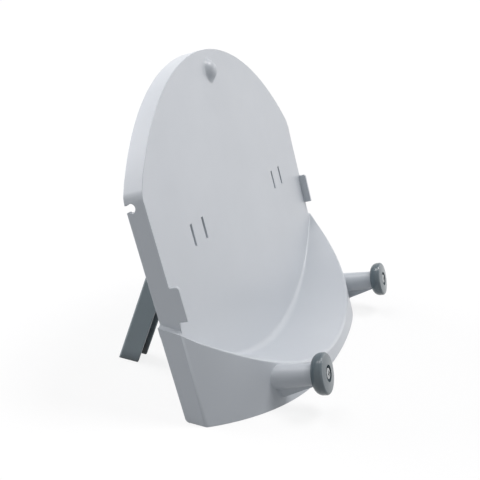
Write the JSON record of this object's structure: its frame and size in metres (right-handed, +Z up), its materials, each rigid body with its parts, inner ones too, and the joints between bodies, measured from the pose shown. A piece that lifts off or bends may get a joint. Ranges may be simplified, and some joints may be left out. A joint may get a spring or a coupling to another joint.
{
  "type": "robot mop dock",
  "caption": "Leaning storage and drying stand for a round floor-washing robot, with a shallow basin along its foot, cord pegs in front and folding prop legs behind",
  "frame": {"origin": "on the floor, under the middle of the stand's box", "axes": "+X runs from the left leg to the right leg as seen from the front, -Y is the front with the basin and the knobs, and +Z is up"},
  "size_m": [0.2428, 0.1277, 0.1694],
  "materials": {
    "body": "satin light grey",
    "dark": "satin blue grey",
    "steel": "plain"
  },
  "bodies": {
    "stand": {"stand_body": "body", "leg_pin_left": "steel", "leg_pin_right": "steel", "knob_left": "dark", "knob_right": "dark", "knob_screw_left": "steel", "knob_screw_right": "steel"},
    "left_leg": {"leg_left": "dark"},
    "right_leg": {"leg_right": "dark"}
  },
  "joints": [
    {"name": "left_leg_fold", "type": "hinge", "parent": "stand", "child": "left_leg", "pos_m": [-0.0696, 0.03274, 0.08649], "axis": [-1, 0, 0], "range_deg": [0, 35]},
    {"name": "right_leg_fold", "type": "hinge", "parent": "stand", "child": "right_leg", "pos_m": [0.0696, 0.03274, 0.08649], "axis": [-1, 0, 0], "range_deg": [0, 35]}
  ]
}
